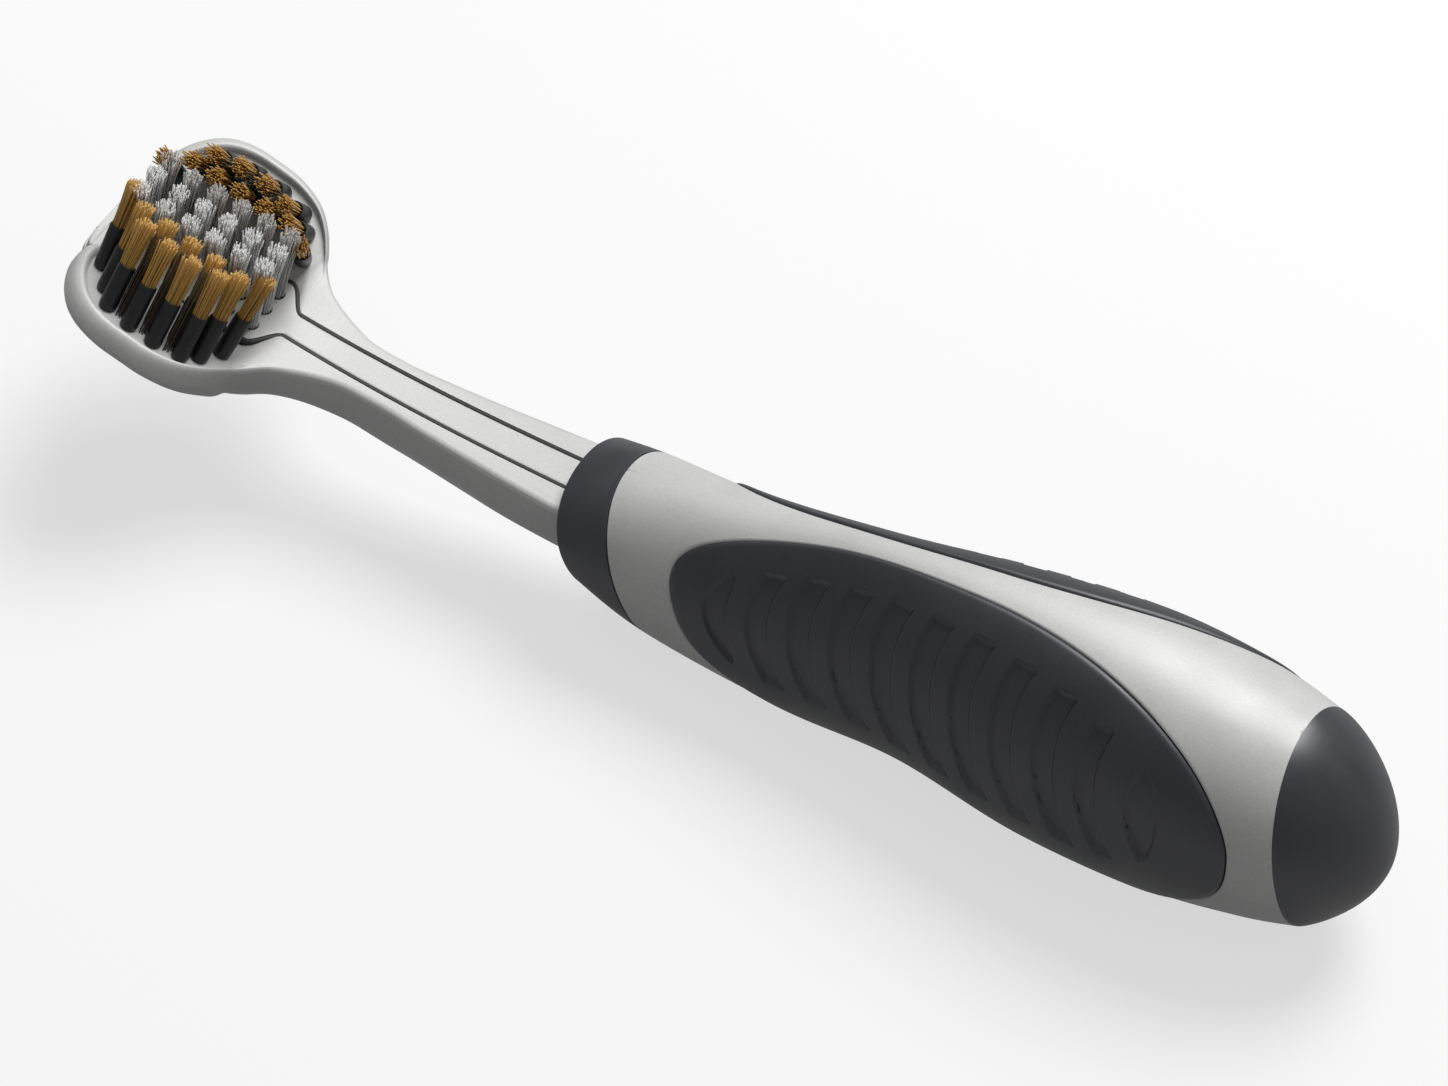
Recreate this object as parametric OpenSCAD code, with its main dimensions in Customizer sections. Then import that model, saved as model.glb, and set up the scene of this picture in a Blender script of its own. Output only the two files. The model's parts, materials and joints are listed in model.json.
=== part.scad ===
// Manual toothbrush with a wide three-part head: a fixed centre tongue and two sprung wings.
// It lies along X on the underside of its handle, head at -X, butt at +X, bristles up (+Z).
// The origin is on the table, below the middle of its outline.

/* [Overall] */
// Distance from the tip of the head to the butt
brush_len = 171.2; // [170:0.1:176]

/* [Handle] */
// Length of the handle from the middle of the collar's front to the end cap's seam
handle_len = 91.8; // [88:0.2:94]
// Largest depth of the handle, measured along its slanted sections
handle_depth = 34.2; // [33.4:0.1:35]
// Largest width of the handle
handle_width = 27.6; // [27:0.1:29]
// Backward lean of the collar's front
front_lean = 26; // [24:1:28]
// Backward lean of the end cap's seam
rear_lean = 17; // [14:1:20]
// Wall of the handle shell
shell_wall = 3; // [2.8:0.1:3.3]
// Play between a piece and the pocket or bore that it sits in
seat_play = 0.1; // [0.08:0.01:0.14]
// Length of the end cap past its seam, along the middle of the handle
cap_len = 9.5; // [9:0.1:10.4]
// Drop of the end cap's nose below the middle of its seam
cap_drop = 3; // [2.4:0.1:3.6]
// Length of the plug that holds the end cap in the shell
plug_len = 6; // [4:0.5:6.5]
// Diameter of the plug's stub, which the end cap grips
stub_d = 10; // [8:0.5:11]
// Length of the plug's stub
stub_len = 4; // [3:0.5:5]

/* [Grips] */
// Thickness of the side grips
grip_t = 1.7; // [1.5:0.1:1.9]
// How far the grips stand proud of the handle shell
grip_proud = 0.3; // [0.2:0.05:0.4]
// Depth of the finger recesses in the grips
recess_depth = 0.5; // [0.3:0.05:0.6]
// Number of finger recesses in each grip
recess_count = 11; // [9:1:13]

/* [Neck] */
// Height of the neck's top over the middle of the collar's front
neck_rise = 4; // [3.8:0.1:4.2]
// Depth of the neck at the collar
neck_depth = 10.5; // [10:0.1:10.8]
// Upward angle of the neck's top at the collar
neck_pitch = 1.2; // [0.6:0.1:1.8]
// Width of the flat top of the neck at its waist
neck_top_w = 6.6; // [6.4:0.1:7]
// Swell of the neck's sides past the edges of its flat top
neck_swell = 0.75; // [0.5:0.05:0.9]
// Width of the centre strip between the two inlays, at the head
strip_w = 3.9; // [3.7:0.1:4.1]
// Width of the elastomer inlays
inlay_w = 0.6; // [0.5:0.05:0.7]
// Depth of the elastomer inlays in the neck
inlay_depth = 0.8; // [0.6:0.1:1]
// Depth of the inlays where they run on down the sides of the tongue
skirt_depth = 3; // [2.4:0.1:3.4]
// Width of the tang that holds the neck in the handle
tang_w = 8.4; // [7.6:0.1:8.8]
// Height of the tang
tang_h = 7.4; // [6.8:0.1:7.6]
// Length of the tang behind the middle of the collar's front
tang_len = 30; // [26:1:34]

/* [Head] */
// Upward angle of the head
head_pitch = 10.8; // [10:0.1:12]
// Length of the centre tongue
tongue_len = 28; // [27.6:0.1:28.6]
// Width of the centre tongue
tongue_w = 10.2; // [10:0.1:10.6]
// Thickness of the centre tongue
tongue_t = 4.4; // [4.2:0.1:4.8]
// Slant of the tongue's end facet, along the head
tip_slant = 0.8; // [0.5:0.1:1.1]
// Length along the head of the shoulders that the neck ends in
root_s = 2.1; // [1.9:0.1:2.3]
// Inward tilt of the wings
wing_tilt = 14; // [13:0.5:16]
// Rise of the wings towards the tip, over that of the tongue
wing_rise = 6.8; // [5:0.2:7]
// Reach of a wing from its hinge line to the outside of its wall
wing_reach = 12.9; // [12.8:0.1:13.4]
// Depth of a wing's wall
wing_depth = 4.5; // [4.3:0.1:4.8]
// Width of the wall round a wing, from its outside to the floor
rim_w = 2.2; // [2:0.05:2.3]
// Depth of a wing's floor below the crest of its wall
floor_drop = 0.8; // [0.7:0.05:0.9]
// Clearance between a wing and what it moves against
hinge_gap = 0.3; // [0.3:0.02:0.36]
// Depth of the hinge lines below the top of the tongue
hinge_drop = 1; // [0.8:0.1:1.1]
// Thickness of the plates that carry the tufts
carrier_t = 0.9; // [0.8:0.1:1]
// Rim that the tongue leaves beside the plates in it
carrier_rim = 0.8; // [0.7:0.05:1]

/* [Tufts] */
// Length of the bristles
bristle_len = 11.9; // [11:0.1:12.6]
// Extra length of the tufts at the tip of the tongue
tip_extra = 1; // [0:0.1:1.6]
// Distance between tufts in a row
tuft_pitch = 3.42; // [3.38:0.01:3.46]
// Distance of the first row of tufts from the start of the head
first_row = 4.9; // [4.8:0.1:5]
// Distance of the outer rows on the tongue from its middle
column_y = 2.9; // [2.8:0.05:3]
// Diameter of a tuft of bristles at its foot
tuft_d = 1.56; // [1.52:0.01:1.58]
// Thickness of one bristle strand
strand_d = 0.42; // [0.36:0.01:0.43]
// Number of strands round the middle one of a tuft
ring_strands = 7; // [6:1:7]
// Inward lean of the wing tufts from the tongue's own upright
tuft_lean = 38; // [36:1:40]
// Inward lean of the tufts at the ends of the wings
end_lean = 20; // [18:1:22]
// Lean of those tufts outwards along the wing
end_fan = 10; // [9:1:12]
// Outer diameter of the black sleeves round the wing tufts
sleeve_d = 2.2; // [2.16:0.01:2.24]
// Clearance between a sleeve and its tuft
sleeve_play = 0.08; // [0.06:0.01:0.1]
// Share of the bristle length that a sleeve covers
sleeve_share = 0.475; // [0.425:0.025:0.5]

/* [Hidden] */

// Overrun of every cut
over = 1;
quarter_turn = 90;
full_turn = 360;

// The handle's sections at equal steps from the front of the collar to the cap's seam:
// places as shares of its length, depths and widths as shares of its largest ones,
// lifts over the table as shares of its depth, and how far the top ridge is pinched
place_shares = [0, 0.084, 0.26, 0.437, 0.617, 0.79, 0.922, 1];
depth_shares = [0.445, 0.662, 0.799, 0.862, 0.981, 1, 0.865, 0.752];
width_shares = [0.683, 0.715, 0.743, 0.843, 1, 0.995, 0.951, 0.871];
lift_shares = [0.2, 0.06, -0.009, 0.04, -0.008, -0.008, 0.073, 0.136];
pinch_shares = [0, 0.07, 0.247, 0.436, 0.284, 0.054, 0.02, 0.1];
collar_share = 1 / 7;
section_power = 2.15;
section_sides = 44;
bore_sides = 28;
shell_rings = 22;
bore_rings = 12;
collar_rings = 5;
cap_rings = 10;
cap_sweep = 174;
cap_side_power = 1.95;
cap_nose_power = 1.2;
cap_drop_power = 1.7;

// A side grip is an oval on the share of the handle's length and the angle from its top
grip_mid_share = 0.554;
grip_half_share = 0.336;
grip_angle = 65.7;
grip_tilt = 77.9;
grip_front_power = 2.79;
grip_rear_power = 1.8;
grip_turns = 40;
grip_ring_shares = [0.18, 0.36, 0.54, 0.72, 0.87, 1];

// The finger recesses: where the first and the last start along the oval, their width, how
// they lean and bulge, and the rises of their two ends over the oval
recess_start_share = -0.898;
recess_end_share = 0.528;
recess_width_share = 0.076;
recess_lean_share = 0.033;
recess_bulge_share = 0.044;
recess_top_shares = [-0.49, -0.6, -0.672, -0.63, -0.36];
recess_foot_shares = [0.3, 0.41, 0.425, 0.425, 0.3];
recess_steps = 7;

// The neck's stations from the collar to the wings: places as shares of its length, half
// widths of its flat top as shares of its waist's, depths and the heights of its side
// swells below the top as shares of its depth at the collar
neck_place_shares = [0, 0.137, 0.319, 0.501, 0.661, 0.775, 0.854, 0.907, 0.952, 1];
neck_width_shares = [1.636, 1.53, 1.348, 1.152, 1, 1.06, 1.41, 1.757, 2.15, 2.82];
neck_depth_shares = [1, 1.016, 1.005, 0.919, 0.886, 0.819, 0.771, 0.767, 0.771, 0.762];
neck_drop_shares = [0.095, 0.095, 0.095, 0.095, 0.095, 0.095, 0.11, 0.135, 0.18, 0.22];
neck_rings = 30;
neck_sides = 6;
neck_power = 2.5;
// How late the neck's top bends up to the head
neck_bend_power = 2.67;

// The centre strip's width at the collar, and where the inlays turn to the tongue's sides
strip_rear_share = 1.23;
flare_len = 3.4;
flare_start_share = 0.26;
flare_steps = 7;
strip_rings = 8;
strip_end_share = 0.93;

// The tongue's stations up to its bowed end: shares of its length, thickness, width and of
// the slant of its end
tongue_place_shares = [0.03, 0.08, 0.3, 0.9, 0.968, 0.981, 0.993, 1];
tongue_thick_shares = [1.36, 1.36, 1, 1, 0.85, 0.81, 0.76, 0.7];
tongue_width_shares = [1, 1, 1, 1, 1, 0.76, 0.45, 0.12];
tongue_slant_shares = [0, 0, 0, 0, 1, 1, 1, 1];
tongue_chamfer_share = 0.2;
carrier_start_share = 0.136;
carrier_end_share = 0.9;

// A wing's outline from its root along the hinge line and round the tip: shares of the
// tongue's length and of the wing's reach, how full the wall stands there over the floor,
// and how deep it hangs below it. Its wall, from the underside over the crest to the floor:
// shares of the wall's width, drawn in from the outline, and of its depth
wing_shares = [[0.086, 0, 0, 1], [0.321, 0, 0, 1], [0.607, 0, 0, 1], [0.821, 0, 0, 1],
    [0.907, 0.039, 0.23, 1], [0.936, 0.171, 1, 1], [0.932, 0.341, 1, 1], [0.9, 0.543, 1, 1],
    [0.857, 0.705, 1, 1], [0.804, 0.837, 1, 1], [0.743, 0.93, 1, 1], [0.675, 0.981, 1, 1],
    [0.582, 1, 1, 1], [0.45, 0.988, 1, 1], [0.354, 0.942, 1, 1.03], [0.261, 0.845, 1, 1.1],
    [0.179, 0.674, 0.87, 1.2], [0.121, 0.488, 0.62, 1.3], [0.086, 0.364, 0.49, 1.36],
    [0.086, 0.155, 0, 1.26]];
wall_shares = [[1.636, 1], [1.045, 0.956], [0.5, 0.844], [0.159, 0.689], [0, 0.556],
    [0.045, 0.422], [0.182, 0.244], [0.364, 0.1], [0.545, 0.027], [0.727, 0], [0.84, 0.03],
    [0.94, 0.1], [1, 0.178]];
wing_steps = 3;
wing_mid_share = 0.139;
wing_centre_shares = [0.161, 0.155];
wing_span_shares = [0.786, 0.86];

// Places of the wing tufts, as shares of the wing's reach and of the tongue's length
outer_row_share = 0.72;
outer_bend_share = 1.87;
outer_start_share = 0.29;
inner_row_share = 0.5;
slim_row_share = 0.655;
end_row_share = 0.264;
root_tuft_share = 0.186;
tip_tuft_share = 0.807;
slim_strands = 3;
slim_ring_share = 0.75;
foot_share = 0.5;
splay_share = 0.03;
ragged_share = 0.05;

// Derived places
handle_front = brush_len / 2 - cap_len - handle_len;
collar_mid = section_centre(0);
tip_drop = tongue_thick_shares[len(tongue_thick_shares) - 1] * tongue_t;
neck_len = brush_len / 2 + handle_front - tongue_len * cos(head_pitch) - tip_drop * sin(head_pitch);
neck_top_h = collar_mid[1] + neck_rise;
head_x = handle_front - neck_len;
neck_bend = (tan(head_pitch) - tan(neck_pitch)) * neck_len / neck_bend_power;
head_h = neck_top_h + neck_len * tan(neck_pitch) + neck_bend;
root_run = neck_len + root_s;
strip_y = tongue_w / 2 + inlay_w / 2;
hinge_y = tongue_w / 2 + inlay_w + hinge_gap / 2;
wing_mid = wing_mid_share * tongue_len;
wing_tan = tan(wing_rise);
carrier_y = tongue_w / 2 - carrier_rim;
carrier_split = column_y / 2;
strand_ring = (tuft_d - strand_d) / 2;
strand_foot = foot_share * carrier_t;
slim_ring = slim_ring_share * strand_d;
tongue_rows = 1 + floor((carrier_end_share * tongue_len - first_row - tuft_d) / tuft_pitch);

// Curve through the values of a list, at a share of its length
function catmull(a, b, c, d, t) =
    b + t * ((c - a) + t * ((2 * a - 5 * b + 4 * c - d) + t * (3 * b - a - 3 * c + d))) / 2;
function along(list, share) =
    let (last = len(list) - 1, p = share * last, i = min(floor(p), last - 1))
    catmull(list[max(i - 1, 0)], list[i], list[i + 1], list[min(i + 2, last)], p - i);
function mix(a, b, share) = a + (b - a) * share;
function round_power(v, power) = sign(v) * pow(abs(v), 2 / power);

// Solid skinned over rings that have the same number of points
module skin(rings) {
    n = len(rings[0]);
    last = (len(rings) - 1) * n;
    sides = [for (i = [0 : len(rings) - 2], j = [0 : n - 1])
        let (a = i * n + j, b = i * n + (j + 1) % n)
        each [[a, b, b + n], [a, b + n, a + n]]];
    ends = [[for (j = [n - 1 : -1 : 0]) j], [for (j = [0 : n - 1]) last + j]];
    polyhedron(points = [for (ring = rings) each ring], faces = concat(sides, ends));
}
function shifted(ring, dx) = [for (p = ring) [p[0] + dx, p[1], p[2]]];

// Middle [x, z] of a handle section, and a point of the handle's surface sunk by a depth
function lean_at(u) = mix(front_lean, rear_lean, u);
function half_depth(u) = along(depth_shares, u) * handle_depth / 2;
function half_width(u) = along(width_shares, u) * handle_width / 2;
function section_centre(u) =
    [handle_front + along(place_shares, u) * handle_len,
     along(lift_shares, u) * handle_depth + half_depth(u) * cos(lean_at(u))];
function squeeze(u, angle) = 1 - along(pinch_shares, u) * pow((1 + cos(angle)) / 2, 2);
function section_point(u, angle, sunk) =
    let (mid = section_centre(u), up = round_power(cos(angle), section_power) * (half_depth(u) - sunk),
         side = round_power(sin(angle), section_power) * (half_width(u) - sunk) * squeeze(u, angle))
    [mid[0] - sin(lean_at(u)) * up, side, mid[1] + cos(lean_at(u)) * up];
function section_ring(u, sunk, sides) =
    [for (k = [0 : sides - 1]) section_point(u, full_turn * k / sides, sunk)];

// Length of the handle between two shares, and the same sunk below its surface for a bore
module handle_part(from, to, steps) {
    skin([for (i = [0 : steps]) section_ring(mix(from, to, i / steps), 0, section_sides)]);
}
module handle_fill(from, to, sunk, overrun) {
    rings = [for (i = [0 : bore_rings]) section_ring(mix(from, to, i / bore_rings), sunk, bore_sides)];
    skin(overrun == 0 ? rings
        : concat([shifted(rings[0], -overrun)], rings, [shifted(rings[bore_rings], overrun)]));
}

// Everything below the table, which the handle's resting flats are cut by
module below_table() {
    translate([-brush_len, -handle_width, -handle_depth])
        cube([2 * brush_len, 2 * handle_width, handle_depth]);
}

// Tang of the neck, or the slot for it
module tang(play) {
    translate([handle_front - tang_h / 2, -tang_w / 2 - play, collar_mid[1] - tang_h / 2 - play])
        cube([tang_h / 2 + tang_len + play, tang_w + 2 * play, tang_h + 2 * play]);
}

module collar_ring() {
    color("#2f3236") difference() {
        handle_part(0, collar_share, collar_rings);
        tang(seat_play);
        below_table();
    }
}

module handle_shell() {
    color("#cfcfcd") difference() {
        handle_part(collar_share, 1, shell_rings);
        handle_fill(collar_share, 1, shell_wall, over);
        for (side = [0, 1]) mirror([0, side, 0])
            grip_patch(-grip_proud - over, grip_t - grip_proud + seat_play, seat_play);
        below_table();
    }
}

module handle_core() {
    color("#9a9a98") difference() {
        handle_fill(collar_share, 1 - (plug_len + over) / handle_len, shell_wall + seat_play, 0);
        tang(seat_play);
    }
}

// Stub of the cap's plug, square to the seam
module stub(radius, length) {
    translate([section_centre(1)[0], 0, section_centre(1)[1]])
        rotate([0, quarter_turn - rear_lean, 0])
        translate([0, 0, -over]) cylinder(r = radius, h = length + over, $fn = 48);
}

module cap_plug() {
    color("#9a9a98") union() {
        handle_fill(1 - plug_len / handle_len, 1, shell_wall + seat_play, 0);
        stub(stub_d / 2, stub_len);
    }
}

// How far along the end cap's nose a sweep reaches, and the nose's ring at a step from its seam
function nose_reach(sweep) = (1 - cos(sweep)) / 2;
function cap_ring(step) =
    let (reach = nose_reach(cap_sweep * step / cap_rings), mid = section_centre(1),
         size = pow(1 - pow(reach, cap_nose_power), 1 / cap_side_power), lean = rear_lean * (1 - reach))
    [for (k = [0 : section_sides - 1])
        let (turn = full_turn * k / section_sides,
             up = round_power(cos(turn), section_power) * half_depth(1) * size,
             side = round_power(sin(turn), section_power) * half_width(1) * size * squeeze(1, turn))
        [mid[0] + cap_len * reach / nose_reach(cap_sweep) - sin(lean) * up, side,
         mid[1] - cap_drop * pow(reach, cap_drop_power) + cos(lean) * up]];

module end_cap() {
    color("#2f3236") difference() {
        skin([for (step = [0 : cap_rings]) cap_ring(step)]);
        stub(stub_d / 2 + seat_play, stub_len + seat_play);
    }
}

// Point of the right grip's surface at a run and a rise over its oval, and of a ring inside
// the oval at a turn and a share of its size, grown and sunk by depths
function grip_place(run, rise, sunk) =
    section_point(grip_mid_share + grip_half_share * run, grip_tilt + grip_angle * rise, sunk);
function grip_point(turn, size, grown, sunk) =
    let (power = cos(turn) > 0 ? grip_front_power : grip_rear_power,
         p = grip_place(-round_power(cos(turn), power) * size, round_power(sin(turn), power) * size, sunk))
    [p[0] - grown * size * cos(turn), p[1], p[2] - grown * size * sin(turn)];

// Patch of the handle's right side inside the grip's oval, between two depths
module grip_patch(top_sunk, floor_sunk, grown) {
    n = grip_turns;
    last = (len(grip_ring_shares) - 1) * n;
    under = len(grip_ring_shares) * n;
    centre = 2 * under;
    rims = [for (sunk = [top_sunk, floor_sunk], size = grip_ring_shares, k = [0 : n - 1])
        grip_point(full_turn * k / n, size, grown, sunk)];
    points = concat(rims, [grip_point(0, 0, 0, top_sunk), grip_point(0, 0, 0, floor_sunk)]);
    faces = [for (j = [0 : n - 1])
        let (k = (j + 1) % n)
        each concat(
            [[centre, j, k], [centre + 1, under + k, under + j],
             [last + k, last + j, under + last + j], [last + k, under + last + j, under + last + k]],
            [for (i = [0 : n : last - n])
                each [[i + j, i + j + n, i + k + n], [i + j, i + k + n, i + k],
                      [under + i + j, under + i + k + n, under + i + j + n],
                      [under + i + j, under + i + k, under + i + k + n]]])];
    polyhedron(points = points, faces = faces);
}

// Finger recess from a start along the grip's oval, between the rises of its two ends
module recess(start, top, foot) {
    skin([for (i = [0 : recess_steps])
        let (share = 2 * i / recess_steps - 1, rise = mix(top, foot, i / recess_steps),
             run = start + share * (recess_bulge_share * share - recess_lean_share))
        [for (corner = [[0, 0], [1, 0], [1, 1], [0, 1]])
            grip_place(run + recess_width_share * corner[0], rise,
                corner[1] == 0 ? recess_depth - grip_proud : -grip_proud - over)]]);
}

module right_grip_solid() {
    difference() {
        grip_patch(-grip_proud, grip_t - grip_proud, 0);
        for (k = [0 : recess_count - 1]) let (share = k / (recess_count - 1))
            recess(mix(recess_start_share, recess_end_share, share),
                along(recess_top_shares, share), along(recess_foot_shares, share));
    }
}
module right_grip() { color("#34373b") right_grip_solid(); }
module left_grip() { color("#34373b") mirror([0, 1, 0]) right_grip_solid(); }

// Point of the neck's sections: run from the collar's front, side, and height over its top.
// The sections turn from the collar's lean to square with the head
function past_neck(run) = max(run - neck_len, 0);
function top_h(run) =
    let (on_neck = min(run, neck_len))
    neck_top_h + on_neck * tan(neck_pitch) + neck_bend * pow(on_neck / neck_len, neck_bend_power)
        + past_neck(run) * sin(head_pitch);
function neck_point(run, y, h) =
    let (share = run / neck_len, z = top_h(run) + h,
         lean = share < 1 ? front_lean * (1 - share) : -head_pitch * min(past_neck(run) / root_s, 1),
         pivot = share < 1 ? mix(collar_mid[1], head_h, share) : top_h(run))
    [handle_front - min(run, neck_len) - past_neck(run) * cos(head_pitch) - (z - pivot) * tan(lean), y, z];
function neck_ring(share) =
    let (run = along(neck_place_shares, share) * root_run,
         flat = along(neck_width_shares, share) * neck_top_w / 2, swell = flat + neck_swell,
         depth = along(neck_depth_shares, share) * neck_depth,
         drop = along(neck_drop_shares, share) * neck_depth,
         right = concat([[flat, 0], [mix(flat, swell, 0.7), -drop / 3]],
             [for (k = [0 : neck_sides]) let (a = quarter_turn * k / neck_sides)
                 [round_power(cos(a), neck_power) * swell,
                  -drop - round_power(sin(a), neck_power) * (depth - drop)]]),
         left = [for (k = [len(right) - 2 : -1 : 0]) [-right[k][0], right[k][1]]])
    [for (p = concat(right, left)) neck_point(run, p[0], p[1])];

// The head's own frame: its line across the top of the tongue's root, -X towards the tip
module head() { translate([head_x, 0, head_h]) rotate([0, head_pitch, 0]) children(); }

module tongue() {
    skin([for (i = [0 : len(tongue_place_shares) - 1])
        let (s = tongue_place_shares[i] * tongue_len, t = tongue_thick_shares[i] * tongue_t,
             w = tongue_width_shares[i] * tongue_w / 2, c = min(tongue_chamfer_share * t, w / 2),
             top_s = s - tongue_slant_shares[i] * tip_slant)
        [[-top_s, w, 0], [-top_s, -w, 0], [-s, -w, c - t], [-s, c - w, -t], [-s, w - c, -t], [-s, w, c - t]]]);
}

// Plate that carries tufts on the tongue between two sides
module carrier(from, to, length_play, height) {
    start = carrier_start_share * tongue_len - length_play;
    end = carrier_end_share * tongue_len + length_play;
    translate([-end, from, -carrier_t]) cube([end - start, to - from, height]);
}

// Elastomer inlay of the neck's right side, which turns outwards on to the tongue's side
strip_path = concat(
    [for (k = [0 : strip_rings - 1]) let (share = k / strip_rings)
        [share * (neck_len + flare_start_share * flare_len), mix(strip_rear_share, 1, share) * strip_w / 2]],
    [for (k = [0 : flare_steps]) let (t = k / flare_steps)
        [neck_len + (flare_start_share + t) * flare_len, mix(strip_w / 2, strip_y, t * t * (3 - 2 * t))]],
    [[neck_len + strip_end_share * tongue_len, strip_y]]);
module strip(overrun) {
    last = len(strip_path) - 1;
    skin([for (i = [0 : last])
        let (p = strip_path[i], d = strip_path[min(i + 1, last)] - strip_path[max(i - 1, 0)],
             n = [-d[1], d[0]] * inlay_w / 2 / norm(d), outer = p + n, inner = p - n,
             depth = p[0] > root_run ? skirt_depth : inlay_depth)
        [neck_point(max(outer[0], 0), outer[1], overrun), neck_point(max(inner[0], 0), inner[1], overrun),
         neck_point(max(inner[0], 0), inner[1], -depth), neck_point(max(outer[0], 0), outer[1], -depth)]]);
}
module right_hinge_strip() { color("#2a2c2f") strip(0); }
module left_hinge_strip() { color("#2a2c2f") mirror([0, 1, 0]) strip(0); }

module neck_body() {
    color("#cfcfcd") difference() {
        union() {
            skin([for (i = [neck_rings : -1 : 0]) neck_ring(i / neck_rings)]);
            head() tongue();
            tang(0);
        }
        head() carrier(-carrier_y - seat_play, carrier_y + seat_play, seat_play, carrier_t + over);
        strip(over);
        mirror([0, 1, 0]) strip(over);
    }
}

// Point of the right wing in the head's frame: place along the head, reach from the hinge
// line, and depth below the plane of the rim
function wing_point(s, reach, drop) =
    let (z = (s - wing_mid) * wing_tan - drop + hinge_drop)
    [-s, hinge_y + reach * cos(wing_tilt) - z * sin(wing_tilt),
     reach * sin(wing_tilt) + z * cos(wing_tilt) - hinge_drop];

// The wing's outline drawn in by an inset towards a place near its root, at a depth below the
// crest: above the floor the wall thins out to it, and below the plate it hangs deeper at the root
function wing_ring(inset, drop) =
    let (n = len(wing_shares), start = root_s + hinge_gap, near = hinge_gap / 2,
         mid_s = wing_centre_shares[0] * tongue_len, mid_v = wing_centre_shares[1] * wing_reach,
         keep_s = 1 - inset / (wing_span_shares[0] * tongue_len),
         keep_v = 1 - inset / (wing_span_shares[1] * wing_reach))
    [for (k = [0 : n - 1], i = [0 : wing_steps - 1])
        let (p = catmull(wing_shares[(k + n - 1) % n], wing_shares[k], wing_shares[(k + 1) % n],
                 wing_shares[(k + 2) % n], i / wing_steps),
             full = drop > floor_drop + carrier_t ? p[3] : drop > floor_drop ? 1 : min(max(p[2], 0), 1))
        wing_point(mix(mid_s, max(p[0] * tongue_len, start), keep_s),
            mix(mid_v, max(p[1] * wing_reach, near), keep_v), mix(floor_drop, drop, full))];

module right_wing_solid() {
    head() skin(concat(
        [for (wall = wall_shares) wing_ring(wall[0] * rim_w, wall[1] * wing_depth)],
        [wing_ring(rim_w, floor_drop + carrier_t)]));
}
module right_wing() { color("#c4c4c2") right_wing_solid(); }
module left_wing() { color("#c4c4c2") mirror([0, 1, 0]) right_wing_solid(); }

// Tuft of bristle strands round a middle one; its foot is sunk in the plate
module strand(r, height) {
    corners = [for (k = [0 : 2]) let (a = -full_turn * k / 3)
        [r + cos(a) * strand_d / 2, sin(a) * strand_d / 2]];
    skin([[for (p = corners) [p[0], p[1], -strand_foot]],
          [for (p = corners) [p[0] + splay_share * r, p[1], height]]]);
}
module tuft(height, count, r) {
    for (k = [0 : count - 1]) rotate([0, 0, full_turn * k / count])
        strand(r, height * (1 - ragged_share * (k * 3 % 4) / 3));
}
module full_tuft(height) {
    strand(0, height);
    tuft(height, ring_strands, strand_ring);
}

module tongue_tufts(columns) {
    head() for (k = [0 : tongue_rows - 1], y = columns)
        translate([-first_row - k * tuft_pitch, y, 0])
            full_tuft(bristle_len + (k == tongue_rows - 1 ? tip_extra : 0));
}
module white_tufts() {
    color("#f4f4f2") union() {
        head() carrier(-carrier_y, carrier_split - seat_play, 0, carrier_t);
        tongue_tufts([-column_y, 0]);
    }
}
module clear_tufts() {
    color("#dcdfe0") union() {
        head() carrier(carrier_split, carrier_y, 0, carrier_t);
        tongue_tufts([column_y]);
    }
}

// Places [s, reach, leans] of the wing tufts: two staggered rows, the ends, and a slim row
function row_place(k) = first_row + k * tuft_pitch;
outer_start = ceil((outer_start_share * tongue_len - first_row) / tuft_pitch);
function outer_reach(s) =
    (outer_row_share - outer_bend_share * pow(s / tongue_len - 1 / 2, 2)) * wing_reach;
inwards = [tuft_lean, 0, 0];
end_reach = end_row_share * wing_reach;
gold_places = concat(
    [for (k = [outer_start : tongue_rows - 2]) [row_place(k), outer_reach(row_place(k)), inwards]],
    [for (k = [0 : tongue_rows - 2]) [row_place(k + 0.5), inner_row_share * wing_reach, inwards]],
    [[root_tuft_share * tongue_len, end_reach, [end_lean, end_fan, 0]],
     [tip_tuft_share * tongue_len, end_reach, [end_lean, -end_fan, 0]]]);
slim_places = [for (k = [1 : tongue_rows - 3]) [row_place(k + 0.5), slim_row_share * wing_reach, inwards]];
module at_place(place) {
    translate(wing_point(place[0], place[1], floor_drop)) rotate(place[2]) children();
}

module right_wing_tufts_solid() {
    head() union() {
        skin([for (drop = [floor_drop + carrier_t, floor_drop]) wing_ring(rim_w + seat_play, drop)]);
        for (place = gold_places) at_place(place) full_tuft(bristle_len);
        for (place = slim_places) at_place(place) tuft(bristle_len, slim_strands, slim_ring);
    }
}
module right_wing_tufts() { color("#b8802a") right_wing_tufts_solid(); }
module left_wing_tufts() { color("#b8802a") mirror([0, 1, 0]) right_wing_tufts_solid(); }

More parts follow.
